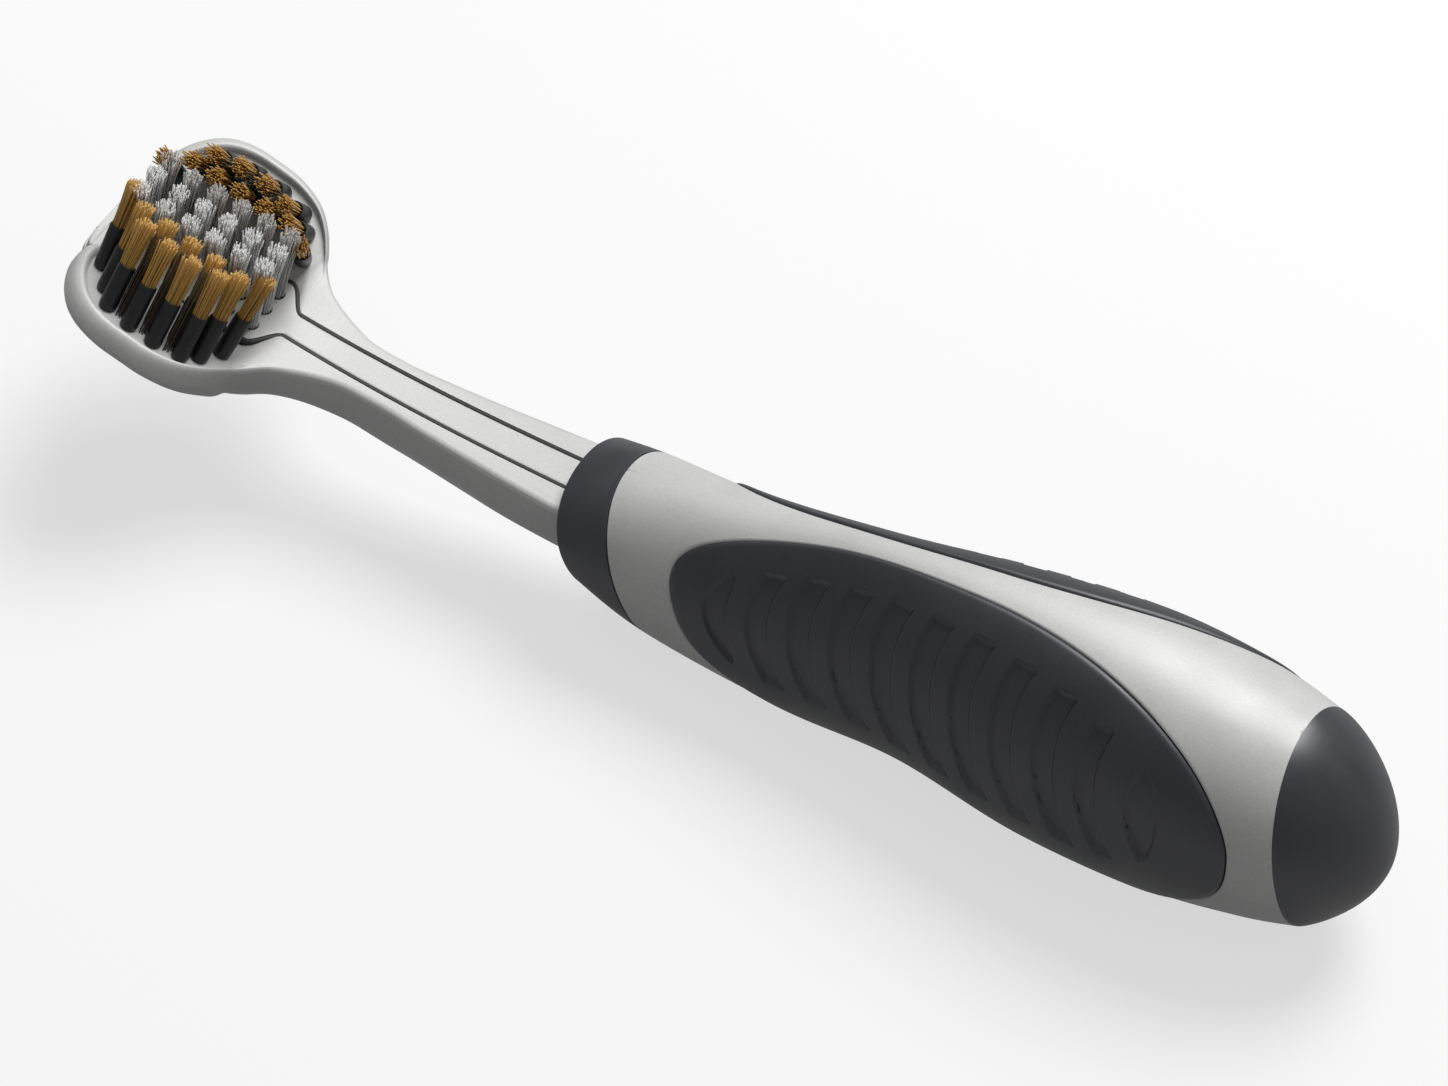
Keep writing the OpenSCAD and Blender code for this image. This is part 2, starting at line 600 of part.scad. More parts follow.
// Block whose top is the plane of the right wing's floor
module below_floor() {
    translate([0, hinge_y, -hinge_drop]) rotate([wing_tilt, 0, 0])
        translate([-wing_mid, 0, hinge_drop - floor_drop]) rotate([0, wing_rise, 0])
        translate([-tongue_len, -wing_reach, -wing_depth])
        cube([2 * tongue_len, 3 * wing_reach, wing_depth]);
}
module right_sleeves_solid() {
    head() difference() {
        for (place = gold_places) at_place(place) translate([0, 0, -sleeve_d / 2]) difference() {
            cylinder(d = sleeve_d, h = sleeve_d / 2 + sleeve_share * bristle_len, $fn = 24);
            translate([0, 0, -over])
                cylinder(d = tuft_d + 2 * sleeve_play, h = bristle_len + over, $fn = 24);
        }
        below_floor();
    }
}
module right_sleeves() { color("#141416") right_sleeves_solid(); }
module left_sleeves() { color("#141416") mirror([0, 1, 0]) right_sleeves_solid(); }

neck_body();
left_wing();
right_wing();
left_hinge_strip();
right_hinge_strip();
collar_ring();
handle_shell();
handle_core();
left_grip();
right_grip();
end_cap();
cap_plug();
white_tufts();
clear_tufts();
left_wing_tufts();
right_wing_tufts();
left_sleeves();
right_sleeves();
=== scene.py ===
# Manual toothbrush with a three-part head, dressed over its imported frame
import json
import math
import random

import bmesh
import bpy
from mathutils import Matrix, Vector


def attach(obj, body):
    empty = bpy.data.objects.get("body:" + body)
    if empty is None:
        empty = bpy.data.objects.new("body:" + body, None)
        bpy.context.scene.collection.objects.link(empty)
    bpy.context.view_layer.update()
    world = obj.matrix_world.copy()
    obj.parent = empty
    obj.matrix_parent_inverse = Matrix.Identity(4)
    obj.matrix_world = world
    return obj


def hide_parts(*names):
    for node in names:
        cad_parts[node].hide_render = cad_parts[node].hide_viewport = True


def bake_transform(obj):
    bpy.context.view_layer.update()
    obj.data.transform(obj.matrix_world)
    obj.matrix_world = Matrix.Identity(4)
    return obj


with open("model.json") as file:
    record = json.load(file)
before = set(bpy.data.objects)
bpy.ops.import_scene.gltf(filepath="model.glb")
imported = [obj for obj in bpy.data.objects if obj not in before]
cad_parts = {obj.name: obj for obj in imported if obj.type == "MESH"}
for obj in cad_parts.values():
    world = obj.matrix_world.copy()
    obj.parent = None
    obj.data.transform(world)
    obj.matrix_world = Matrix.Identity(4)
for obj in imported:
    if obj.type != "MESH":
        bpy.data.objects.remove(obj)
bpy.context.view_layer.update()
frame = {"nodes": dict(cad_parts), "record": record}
mm = 0.001
print("frame loaded")

# Camera, from where the photograph was taken
camera = {"place": (160.79, -337.05, 449.38), "towards": (0.2811, -0.5904, 0.7566),
          "azimuth": 25.46, "roll": 4.54, "lens": 122.57, "sensor": 36}


def addCamera():
    back = Vector(camera["towards"]).normalized()
    azimuth, roll = math.radians(camera["azimuth"]), math.radians(camera["roll"])
    level = Vector((math.cos(azimuth), math.sin(azimuth), 0))
    upright = back.cross(level)
    right = math.cos(roll) * level + math.sin(roll) * upright
    top = math.cos(roll) * upright - math.sin(roll) * level
    data = bpy.data.cameras.new("camera")
    data.lens, data.sensor_width, data.sensor_fit = camera["lens"], camera["sensor"], "HORIZONTAL"
    data.clip_start, data.clip_end = 0.01, 10
    shot = bpy.data.objects.new("camera", data)
    turned = Matrix((right, top, back)).transposed().to_4x4()
    shot.matrix_world = Matrix.Translation(Vector(camera["place"]) * mm) @ turned
    bpy.context.scene.collection.objects.link(shot)
    bpy.context.scene.camera = shot


addCamera()
print("camera placed")

# Sizes of the brush in millimetres, the same as in the part's source
brush = {"length": 171.2, "handle": 91.8, "depth": 34.2, "width": 27.6, "frontLean": 26, "rearLean": 17,
         "cap": 9.5, "capDrop": 3, "power": 2.15, "collarShare": 1 / 7,
         "places": [0, 0.084, 0.26, 0.437, 0.617, 0.79, 0.922, 1],
         "depths": [0.445, 0.662, 0.799, 0.862, 0.981, 1, 0.865, 0.752],
         "widths": [0.683, 0.715, 0.743, 0.843, 1, 0.995, 0.951, 0.871],
         "lifts": [0.2, 0.06, -0.009, 0.04, -0.008, -0.008, 0.073, 0.136],
         "pinches": [0, 0.07, 0.247, 0.436, 0.284, 0.054, 0.02, 0.1]}
neck = {"rise": 4, "depth": 10.5, "pitch": 1.2, "topWidth": 6.6, "swell": 0.75, "bendPower": 2.67,
        "power": 2.5, "root": 2.1, "turn": 7,
        "places": [0, 0.137, 0.319, 0.501, 0.661, 0.775, 0.854, 0.907, 0.952, 1],
        "widths": [1.636, 1.53, 1.348, 1.152, 1, 1.06, 1.41, 1.757, 2.15, 2.82],
        "depths": [1, 1.016, 1.005, 0.919, 0.886, 0.819, 0.771, 0.767, 0.771, 0.762],
        "drops": [0.095, 0.095, 0.095, 0.095, 0.095, 0.095, 0.11, 0.135, 0.18, 0.22]}
head = {"pitch": 10.8, "tongue": 28, "tongueWidth": 10.2, "thickness": 4.4, "endThickness": 0.7,
        "slant": 0.8, "inlay": 0.6, "gap": 0.3, "strip": 3.9, "stripRear": 1.23, "flare": 3.4,
        "flareStart": 0.26}
wing = {"tilt": 14, "rise": 6.8, "midShare": 0.139, "hingeDrop": 1, "floor": 0.8, "centre": (4.5, 2.0),
        "span": (22.0, 11.1)}
bristles = {"length": 11.9, "tipExtra": 0.9, "pitch": 3.42, "firstRow": 4.9, "column": 2.9, "foot": 1.56,
            "lean": 38, "endLean": (30, 31), "endFan": (8, -2), "rows": 6, "outerRow": 9.29,
            "outerBend": 0.0308, "innerRow": 6.45, "slimRow": 8.45, "endRow": 3.41,
            "rootTuft": 5.21, "tipTuft": 22.6}


def mix(a, b, share):
    return a + (b - a) * share


def smooth(share):
    share = min(max(share, 0), 1)
    return share * share * (3 - 2 * share)


def along(values, share):
    # Curve through the values of a list, at a share of its length
    last = len(values) - 1
    place = share * last
    i = min(int(place), last - 1)
    t = place - i
    a, b, c, d = (values[max(min(k, last), 0)] for k in (i - 1, i, i + 1, i + 2))
    return b + t * ((c - a) + t * ((2 * a - 5 * b + 4 * c - d) + t * (3 * b - a - 3 * c + d))) / 2


def roundPower(v, power):
    return math.copysign(abs(v) ** (2 / power), v)


def sinDeg(a):
    return math.sin(math.radians(a))


def cosDeg(a):
    return math.cos(math.radians(a))


def tanDeg(a):
    return math.tan(math.radians(a))


# The handle's surface, as in the part's source
handleFront = brush["length"] / 2 - brush["cap"] - brush["handle"]


def leanAt(u):
    return mix(brush["frontLean"], brush["rearLean"], u)


def halfDepth(u):
    return along(brush["depths"], u) * brush["depth"] / 2


def halfWidth(u):
    return along(brush["widths"], u) * brush["width"] / 2


def sectionCentre(u):
    x = handleFront + along(brush["places"], u) * brush["handle"]
    return (x, along(brush["lifts"], u) * brush["depth"] + halfDepth(u) * cosDeg(leanAt(u)))


def squeeze(u, angle):
    return 1 - along(brush["pinches"], u) * ((1 + cosDeg(angle)) / 2) ** 2


def handlePoint(u, angle, sunk, shift=0.0):
    # angle from the top ridge, sunk below the surface, shift along the axis; never below the table
    x, z = sectionCentre(u)
    c, s = cosDeg(angle), sinDeg(angle)
    up = roundPower(c, brush["power"]) * (halfDepth(u) - sunk)
    side = roundPower(s, brush["power"]) * (halfWidth(u) - sunk) * squeeze(u, angle)
    return Vector((x + shift - sinDeg(leanAt(u)) * up, side, max(z + cosDeg(leanAt(u)) * up, 0.0)))


# The neck's top line, its leaning sections and the head's own frame
collarMid = sectionCentre(0)[1]
tipDrop = head["endThickness"] * head["thickness"]
neckLength = (brush["length"] / 2 + handleFront - head["tongue"] * cosDeg(head["pitch"])
              - tipDrop * sinDeg(head["pitch"]))
neckTop = collarMid + neck["rise"]
neckBend = (tanDeg(head["pitch"]) - tanDeg(neck["pitch"])) * neckLength / neck["bendPower"]
headX = handleFront - neckLength
headZ = neckTop + neckLength * tanDeg(neck["pitch"]) + neckBend
hingeY = head["tongueWidth"] / 2 + head["inlay"] + head["gap"] / 2
wingMid = wing["midShare"] * head["tongue"]


def headPoint(s, y, h):
    a = head["pitch"]
    return Vector((headX - s * cosDeg(a) + h * sinDeg(a), y, headZ + s * sinDeg(a) + h * cosDeg(a)))


def neckPoint(run, y, h):
    if run >= neckLength:
        return headPoint(run - neckLength, y, h)
    share = max(run, 0) / neckLength
    turn = smooth((run - neckLength + neck["turn"]) / neck["turn"])
    lean = mix(brush["frontLean"] * (1 - share), -head["pitch"], turn)
    top = neckTop + run * tanDeg(neck["pitch"]) + neckBend * share ** neck["bendPower"]
    z = top + h * mix(1, cosDeg(head["pitch"]), turn)
    return Vector((handleFront - run - (z - mix(collarMid, headZ, share)) * tanDeg(lean), y, z))


def wingLocal(s, reach, drop):
    # a wing's point as (s, y, h) in the head's frame
    z = (s - wingMid) * tanDeg(wing["rise"]) - drop + wing["hingeDrop"]
    c, t = cosDeg(wing["tilt"]), sinDeg(wing["tilt"])
    return (s, hingeY + reach * c - z * t, reach * t + z * c - wing["hingeDrop"])


# Mesh helpers
def makeObject(name, points, faces, sharp=38):
    mesh = bpy.data.meshes.new(name)
    mesh.from_pydata([Vector(p) * mm for p in points], [], faces)
    shape = bmesh.new()
    shape.from_mesh(mesh)
    bmesh.ops.remove_doubles(shape, verts=shape.verts, dist=1e-7)
    bmesh.ops.dissolve_degenerate(shape, edges=shape.edges, dist=1e-7)
    bmesh.ops.recalc_face_normals(shape, faces=shape.faces)
    shape.to_mesh(mesh)
    shape.free()
    mesh.shade_smooth()
    mesh.set_sharp_from_angle(angle=math.radians(sharp))
    piece = bpy.data.objects.new(name, mesh)
    bpy.context.scene.collection.objects.link(piece)
    return piece


def loft(rings, caps=(True, True)):
    # faces between rings of the same number of points, with a fan over each open end
    n = len(rings[0])
    points = [p for ring in rings for p in ring]
    faces = []
    for i in range(len(rings) - 1):
        for j in range(n):
            k = (j + 1) % n
            faces.append((i * n + j, i * n + k, (i + 1) * n + k, (i + 1) * n + j))
    for wanted, base in ((caps[0], 0), (caps[1], (len(rings) - 1) * n)):
        if wanted:
            middle = sum((Vector(points[base + j]) for j in range(n)), Vector()) / n
            points.append(middle)
            faces += [(base + j, base + (j + 1) % n, len(points) - 1) for j in range(n)]
    return points, faces


def addLoft(points, faces, rings, caps=(True, True)):
    # lofts rings onto the end of a growing mesh
    base = len(points)
    more, moreFaces = loft(rings, caps)
    points += more
    faces += [tuple(base + i for i in face) for face in moreFaces]


def axesAcross(way):
    # two directions square to the axis of a tuft
    sideways = way.cross(Vector((0, 1, 0))).normalized()
    return sideways, way.cross(sideways).normalized()


def roundRings(profile, foot, way, turns):
    # rings about an axis, from pairs of radius and height
    sideways, across = axesAcross(way)
    spots = [(cosDeg(360 * k / turns), sinDeg(360 * k / turns)) for k in range(turns)]
    return [[foot + way * up + sideways * (r * a) + across * (r * b) for a, b in spots] for r, up in profile]


def mirrored(points):
    return [Vector((p[0], -p[1], p[2])) for p in points]


def dress(piece, body, slot, finish, *nodes):
    piece.data.materials.append(finish)
    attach(piece, body)
    if nodes:
        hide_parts(*nodes)
    return piece


# Finishes: grain and blotch in millimetres, colours as (dark, light)
finishes = {
    "satinSilver": {"colours": ((0.60, 0.60, 0.595), (0.70, 0.70, 0.69)), "rough": (0.36, 0.48),
                    "metal": 0.05, "grain": 0.28, "blotch": 9, "bump": 0.10, "depth": 0.015, "specular": 0.5},
    "charcoalRubber": {"colours": ((0.027, 0.029, 0.035), (0.040, 0.043, 0.051)), "rough": (0.36, 0.48),
                       "metal": 0.0, "grain": 0.22, "blotch": 7, "bump": 0.22, "depth": 0.02,
                       "specular": 0.85},
    "gripRubber": {"colours": ((0.023, 0.025, 0.030), (0.035, 0.038, 0.046)), "rough": (0.38, 0.50),
                   "metal": 0.0, "grain": 0.26, "blotch": 8, "bump": 0.30, "depth": 0.03, "specular": 0.8},
    "inlayRubber": {"colours": ((0.028, 0.029, 0.030), (0.045, 0.046, 0.047)), "rough": (0.45, 0.6),
                    "metal": 0.0, "grain": 0.2, "blotch": 4, "bump": 0.15, "depth": 0.01, "specular": 0.4},
    "corePlastic": {"colours": ((0.30, 0.30, 0.29), (0.38, 0.38, 0.37)), "rough": (0.45, 0.6),
                    "metal": 0.0, "grain": 0.6, "blotch": 8, "bump": 0.1, "depth": 0.02, "specular": 0.4},
    # black rubber of the sleeves, also used as painted shade round the feet of the tongue's tufts
    "blackRubberAndShade": {"colours": ((0.007, 0.007, 0.008), (0.016, 0.016, 0.018)), "rough": (0.32, 0.5),
                    "metal": 0.0, "grain": 0.3, "blotch": 2, "bump": 0.2, "depth": 0.02, "specular": 0.5}}
# each strand finish has painted shade in its foot colour and a painted highlight in its tip colour
strandFinishes = {
    "whiteStrands": {"foot": (0.9, 0.9, 0.885), "tip": (0.97, 0.97, 0.96), "rough": 0.4, "through": 0.0,
                     "scatter": 0.85},
    "clearStrands": {"foot": (0.5, 0.48, 0.45), "tip": (0.78, 0.75, 0.71), "rough": 0.3, "through": 0.1,
                     "scatter": 0.4},
    # slim clear tufts painted near black at the foot and dark at the tip, as painted shade in the gaps
    # between the gold tufts
    "shadedSlimStrands": {"foot": (0.006, 0.006, 0.006), "tip": (0.15, 0.105, 0.05), "rough": 0.35, "through": 0.0,
                     "scatter": 0.0},
    "goldStrands": {"foot": (0.42, 0.21, 0.03), "tip": (0.84, 0.5, 0.13), "rough": 0.36, "through": 0.05,
                    "scatter": 0.2}}


def addNode(tree, kind, **values):
    node = tree.nodes.new(kind)
    for name, value in values.items():
        node.inputs[name].default_value = value
    return node


def satinFinish(name, look):
    made = bpy.data.materials.new(name)
    made.use_nodes = True
    tree = made.node_tree
    shader = tree.nodes["Principled BSDF"]
    shader.inputs["Metallic"].default_value = look["metal"]
    shader.inputs["Specular IOR Level"].default_value = look["specular"]
    place = tree.nodes.new("ShaderNodeTexCoord")
    grain = addNode(tree, "ShaderNodeTexNoise", Scale=1000 / look["grain"], Detail=3.0, Roughness=0.6)
    blotch = addNode(tree, "ShaderNodeTexNoise", Scale=1000 / look["blotch"], Detail=2.0, Roughness=0.5)
    speck = tree.nodes.new("ShaderNodeMix")
    speck.data_type = "FLOAT"
    speck.inputs[0].default_value = 0.4
    colour = tree.nodes.new("ShaderNodeValToRGB")
    colour.color_ramp.elements[0].position, colour.color_ramp.elements[1].position = 0.36, 0.64
    colour.color_ramp.elements[0].color = (*look["colours"][0], 1)
    colour.color_ramp.elements[1].color = (*look["colours"][1], 1)
    rough = tree.nodes.new("ShaderNodeMapRange")
    rough.inputs["From Min"].default_value, rough.inputs["From Max"].default_value = 0.3, 0.7
    rough.inputs["To Min"].default_value, rough.inputs["To Max"].default_value = look["rough"]
    bump = addNode(tree, "ShaderNodeBump", Strength=look["bump"], Distance=look["depth"] * mm)
    for texture in (grain, blotch):
        tree.links.new(place.outputs["Object"], texture.inputs["Vector"])
    tree.links.new(grain.outputs["Fac"], speck.inputs[2])
    tree.links.new(blotch.outputs["Fac"], speck.inputs[3])
    tree.links.new(speck.outputs[0], colour.inputs["Fac"])
    tree.links.new(colour.outputs["Color"], shader.inputs["Base Color"])
    tree.links.new(blotch.outputs["Fac"], rough.inputs["Value"])
    tree.links.new(rough.outputs["Result"], shader.inputs["Roughness"])
    tree.links.new(grain.outputs["Fac"], bump.inputs["Height"])
    tree.links.new(bump.outputs["Normal"], shader.inputs["Normal"])
    return made


def strandFinish(name, look):
    # bristles run from a darker foot, painted shade among the tufts, to a paler tip, a painted highlight, and
    # no two quite match
    made = bpy.data.materials.new(name)
    made.use_nodes = True
    tree = made.node_tree
    shader = tree.nodes["Principled BSDF"]
    shader.inputs["Roughness"].default_value = look["rough"]
    shader.inputs["Transmission Weight"].default_value = look["through"]
    shader.inputs["Subsurface Weight"].default_value = look["scatter"]
    shader.inputs["Subsurface Radius"].default_value = (1, 1, 1)
    shader.inputs["Subsurface Scale"].default_value = mm
    # the height share up each filament sets how the painted shade at the foot gives way to the painted
    # highlight at the tip
    height = tree.nodes.new("ShaderNodeAttribute")
    height.attribute_name = "up"
    place = tree.nodes.new("ShaderNodeTexCoord")
    streak = addNode(tree, "ShaderNodeTexNoise", Scale=2600.0, Detail=1.0)
    colour = tree.nodes.new("ShaderNodeValToRGB")
    colour.color_ramp.elements[0].color = (*look["foot"], 1)
    colour.color_ramp.elements[1].color = (*look["tip"], 1)
    shade = tree.nodes.new("ShaderNodeMapRange")
    shade.inputs["From Min"].default_value, shade.inputs["From Max"].default_value = 0.3, 0.7
    shade.inputs["To Min"].default_value, shade.inputs["To Max"].default_value = -0.15, 0.15
    total = tree.nodes.new("ShaderNodeMath")
    total.operation = "ADD"
    tree.links.new(place.outputs["Object"], streak.inputs["Vector"])
    tree.links.new(streak.outputs["Fac"], shade.inputs["Value"])
    tree.links.new(height.outputs["Fac"], total.inputs[0])
    tree.links.new(shade.outputs["Result"], total.inputs[1])
    tree.links.new(total.outputs["Value"], colour.inputs["Fac"])
    tree.links.new(colour.outputs["Color"], shader.inputs["Base Color"])
    return made


made = {name: satinFinish(name, look) for name, look in finishes.items()}
made.update({name: strandFinish(name, look) for name, look in strandFinishes.items()})
print("finishes made")

# Handle shell: a silver skin round two grip openings, with a narrow seam along every edge
shellLook = {"turns": 240, "rings": 44, "seam": 0.12, "mid": 0.554,
             "half": 0.336, "tilt": 77.9, "angle": 65.7, "frontPower": 2.79, "rearPower": 1.8,
             "degreesPerMm": 3.7, "lip": [(0.9, 0), (0.25, 0), (0.08, 0.1), (0, 0.35)],
             "ends": [(0, 0), (0.06, 0.05), (0.12, 0.2), (0.12, 1.2), (0.0, 5)]}


def gripPoint(run, rise, sunk):
    look = shellLook
    return handlePoint(look["mid"] + look["half"] * run, look["tilt"] + look["angle"] * rise, sunk)


def ovalPlace(turn, grown):
    # (u, angle) on the grip's oval at a turn, grown outwards by millimetres
    power = shellLook["frontPower"] if cosDeg(turn) > 0 else shellLook["rearPower"]
    run, rise = -roundPower(cosDeg(turn), power), roundPower(sinDeg(turn), power)
    return (shellLook["mid"] + shellLook["half"] * run - grown * cosDeg(turn) / brush["handle"],
            shellLook["tilt"] + shellLook["angle"] * rise + grown * sinDeg(turn) * shellLook["degreesPerMm"])


def addShell():
    look = shellLook
    front, rear = brush["collarShare"], 1.0
    turns = [360 * k / look["turns"] for k in range(look["turns"])]
    rings = []
    for sunk, grown in look["lip"]:
        rings.append([handlePoint(*ovalPlace(turn, look["seam"] + grown), sunk) for turn in turns])
    # from the opening out to the ends of the shell and its top and bottom lines
    for step in range(1, look["rings"] + 1):
        share = step / look["rings"]
        ring = []
        for turn in turns:
            u, angle = ovalPlace(turn, look["seam"] + look["lip"][-1][1])
            run, rise = -cosDeg(turn), sinDeg(turn)
            size = max(abs(run), abs(rise))
            toU = mix(front, rear, (run / size + 1) / 2)
            toAngle = (rise / size + 1) * 90
            ring.append(handlePoint(mix(u, toU, share), mix(angle, toAngle, share), 0))
        rings.append(ring)
    sidePoints, sideFaces = loft(rings, caps=(False, False))
    count = len(sidePoints)
    points = sidePoints + mirrored(sidePoints)
    faces = sideFaces + [tuple(count + i for i in face) for face in sideFaces]
    # the two ends turn in to the seams
    for u, way in ((front, -1), (rear, 1)):
        ends = [[handlePoint(u, turn, sunk, way * push) for turn in turns] for push, sunk in look["ends"]]
        addLoft(points, faces, ends, (False, False))
    piece = makeObject("handle_shell_skin", points, faces, 50)
    return dress(piece, "handle", "silver_plastic", made["satinSilver"], "handle_shell")


addShell()
print("handle shell made")

# Side grips: an oval cushion each, with eleven finger recesses
gripLook = {"columns": 620, "rows": 120, "proud": 0.3, "skirt": 0.9, "rounding": 1.1, "tuck": 0.12,
            "start": -0.896, "step": 0.1413, "count": 11, "width": 0.076, "lean": 0.033, "bulge": 0.044,
            "depth": 0.5, "wall": 0.2, "farWall": 0.3, "endWall": 0.22, "firstBow": 0.4, "lastShift": 0.042,
            "lastWiden": 1.7, "perRun": 30.9, "perRise": 17.6,
            "tops": [-0.48, -0.55, -0.585, -0.613, -0.643, -0.67, -0.675, -0.647, -0.6, -0.51, -0.37],
            "feet": [0.3, 0.36, 0.39, 0.43, 0.434, 0.43, 0.4, 0.415, 0.43, 0.39, 0.3]}


def recessDepth(run, rise):
    look = gripLook
    deepest = 0.0
    for k in range(look["count"]):
        top, foot = look["tops"][k], look["feet"][k]
        t = 2 * (rise - top) / (foot - top) - 1
        if abs(t) >= 1:
            continue
        left = look["start"] + k * look["step"] + t * (look["bulge"] * t - look["lean"])
        width = look["width"]
        if k == 0:
            width *= (1 - t * t) ** 0.5
            left += look["width"] * look["firstBow"] * t * t
        if k == look["count"] - 1:
            width *= look["lastWiden"] * (1 - t * t) ** 0.7
            left += look["lastShift"]
        inFront, behind = (run - left) * look["perRun"], (left + width - run) * look["perRun"]
        atEnd = min(rise - top, foot - rise) * look["perRise"]
        if inFront <= 0 or behind <= 0:
            continue
        hollow = smooth(inFront / look["wall"]) * smooth(behind / look["farWall"])
        hollow *= smooth(atEnd / look["endWall"])
        deepest = max(deepest, hollow)
    return deepest * look["depth"]


def addGrip(name, body, side):
    look = gripLook
    rings = []
    for i in range(1, look["columns"]):
        x = 2 * i / look["columns"] - 1
        run = math.sin(x * math.pi / 2)
        power = shellLook["frontPower"] if run < 0 else shellLook["rearPower"]
        half = max(1 - abs(run) ** power, 0) ** (1 / power)
        ring = []
        for j in range(look["rows"] + 1):
            rise = math.sin((j / look["rows"] - 0.5) * math.pi) * half
            a, b = abs(run), abs(rise)
            size = max((a ** power + b ** power) ** (1 / power), 1e-6)
            slope = math.hypot((a / size) ** (power - 1) / look["perRun"],
                               (b / size) ** (power - 1) / look["perRise"])
            inset = (1 - size) / max(slope, 1e-6)
            near = min(inset / look["rounding"], 1)
            crown = look["proud"] * math.sqrt(max(1 - (1 - near) ** 2, 0)) - look["tuck"] * (1 - near) ** 4
            ring.append(gripPoint(run, rise, -crown + recessDepth(run, rise)))
        # the edge turns down into the seam and the underside closes it
        ring += [gripPoint(run, rise, look["skirt"]) for rise in (half, 0.5 * half, -0.5 * half, -half)]
        rings.append(ring)
    points, faces = loft(rings)
    points = points if side > 0 else mirrored(points)
    piece = makeObject(name, points, faces, 60)
    return dress(piece, body, "grip_rubber", made["gripRubber"], name.replace("_cushion", ""))


addGrip("right_grip_cushion", "handle", 1)
addGrip("left_grip_cushion", "handle", -1)
print("grips made")

# Collar ring and end cap, both with a rounded edge at their seams
collarLook = {"turns": 160, "rings": 26, "round": 0.28, "seam": 0.16, "deep": 2.2, "clear": (0.012, 0.004)}
capLook = {"turns": 160, "rings": 40, "sweep": 176, "sidePower": 1.95, "nosePower": 1.2, "dropPower": 1.7}


def turnRing(u, sunk, shift, turns):
    return [handlePoint(u, 360 * k / turns, sunk, shift) for k in range(turns)]


def addCollar():
    look = collarLook
    rear = brush["collarShare"]
    first, last = look["clear"][0], rear - look["clear"][1]
    r, seam = look["round"], look["seam"]
    rings = [turnRing(0, halfDepth(0) * 0.6, 0, look["turns"]), turnRing(0, r * 1.6, 0, look["turns"])]
    rings += [turnRing(0, r * (1 - sinDeg(a)), r * (1 - cosDeg(a)), look["turns"]) for a in (15, 40, 65, 90)]
    rings += [turnRing(mix(first, last, k / look["rings"]), 0, 0, look["turns"])
              for k in range(look["rings"] + 1)]
    rings += [turnRing(rear, r * (1 - cosDeg(a)), -seam - r * (1 - sinDeg(a)), look["turns"])
              for a in (30, 60, 90)]
    rings.append(turnRing(rear, look["deep"], -seam, look["turns"]))
    points, faces = loft(rings)
    piece = makeObject("collar_band", points, faces, 50)
    return dress(piece, "handle", "charcoal_rubber", made["charcoalRubber"], "collar_ring")


def addCap():
    look = capLook
    x, z = sectionCentre(1)
    full = (1 - cosDeg(look["sweep"])) / 2
    r, seam = collarLook["round"], collarLook["seam"]
    rings = [turnRing(1, collarLook["deep"], seam, look["turns"])]
    rings += [turnRing(1, r * (1 - sinDeg(a)), seam, look["turns"]) for a in (0, 40)]
    for step in range(1, look["rings"] + 1):
        reach = (1 - cosDeg(look["sweep"] * step / look["rings"])) / 2
        size = max(1 - reach ** look["nosePower"], 0) ** (1 / look["sidePower"])
        lean = brush["rearLean"] * (1 - reach)
        ring = []
        for k in range(look["turns"]):
            turn = 360 * k / look["turns"]
            up = roundPower(cosDeg(turn), brush["power"]) * halfDepth(1) * size
            side = roundPower(sinDeg(turn), brush["power"]) * halfWidth(1) * size * squeeze(1, turn)
            ring.append(Vector((x + brush["cap"] * min(reach / full, 1) - sinDeg(lean) * up, side,
                                z - brush["capDrop"] * reach ** look["dropPower"] + cosDeg(lean) * up)))
        rings.append(ring)
    points, faces = loft(rings)
    piece = makeObject("end_cap_nose", points, faces, 50)
    return dress(piece, "handle", "charcoal_rubber", made["charcoalRubber"], "end_cap")


addCollar()
addCap()
print("collar and end cap made")

# Side pieces: each one skin from the collar along the neck and round its wing
sideLook = {"perRow": 6, "perRail": 3, "inlayEdge": 0.27, "bend": (-6.0, 5.0), "paced": (6, 11, 15),
            "shortest": 0.6, "spine": 0.16, "underside": 4.5, "rootDepth": 1.2,
            "rootRows": ((2.1, 0.34), (3.3, 0.74)),
            "neckRuns": [0, 4, 9, 14, 19, 24, 28.5, 32, 34.5, 36.5, 38.5, 40.3]}
# outline of a wing from its root round the tip: s, reach, how full the wall is, how deep, s of its partner
# on the hinge line
wingOutline = [(3.4, 6.3, 0.62, 1.19, 4.6), (5.0, 8.7, 0.87, 1.14, 5.6), (7.3, 10.9, 1, 1.08, 7.2),
               (9.9, 12.12, 1, 1.03, 9.2), (12.6, 12.7, 1, 1, 11.6), (16.3, 12.86, 1, 1, 15.0),
               (18.9, 12.6, 1, 1, 17.6), (20.8, 11.95, 1, 1, 19.4), (22.5, 10.8, 1, 1, 21.0),
               (24.0, 9.1, 1, 1, 22.2), (25.2, 7.0, 1, 1, 23.1), (26.05, 4.4, 1, 1, 23.8),
               (26.2, 2.4, 1, 1, 24.2), (25.7, 0.9, 0.6, 1, 24.5), (25.0, 0.3, 0.23, 1, 24.8)]
# the wall from the floor over the crest to the underside: inset from the outline and drop below the crest
wingWall = [(2.2, 0.8), (2.07, 0.45), (1.85, 0.13), (1.58, 0), (1.2, 0.1), (0.8, 0.42), (0.4, 1.05),
            (0.1, 1.85), (0, 2.5), (0.35, 3.1), (1.1, 3.8), (2.3, 4.3), (3.6, 4.5)]


def stripHalf(run):
    # distance of an inlay's middle line from the brush's middle
    start = neckLength + head["flareStart"] * head["flare"]
    half, side = head["strip"] / 2, head["tongueWidth"] / 2 + head["inlay"] / 2
    if run < start:
        return mix(head["stripRear"] * half, half, run / start)
    return mix(half, side, smooth((run - start) / head["flare"]))


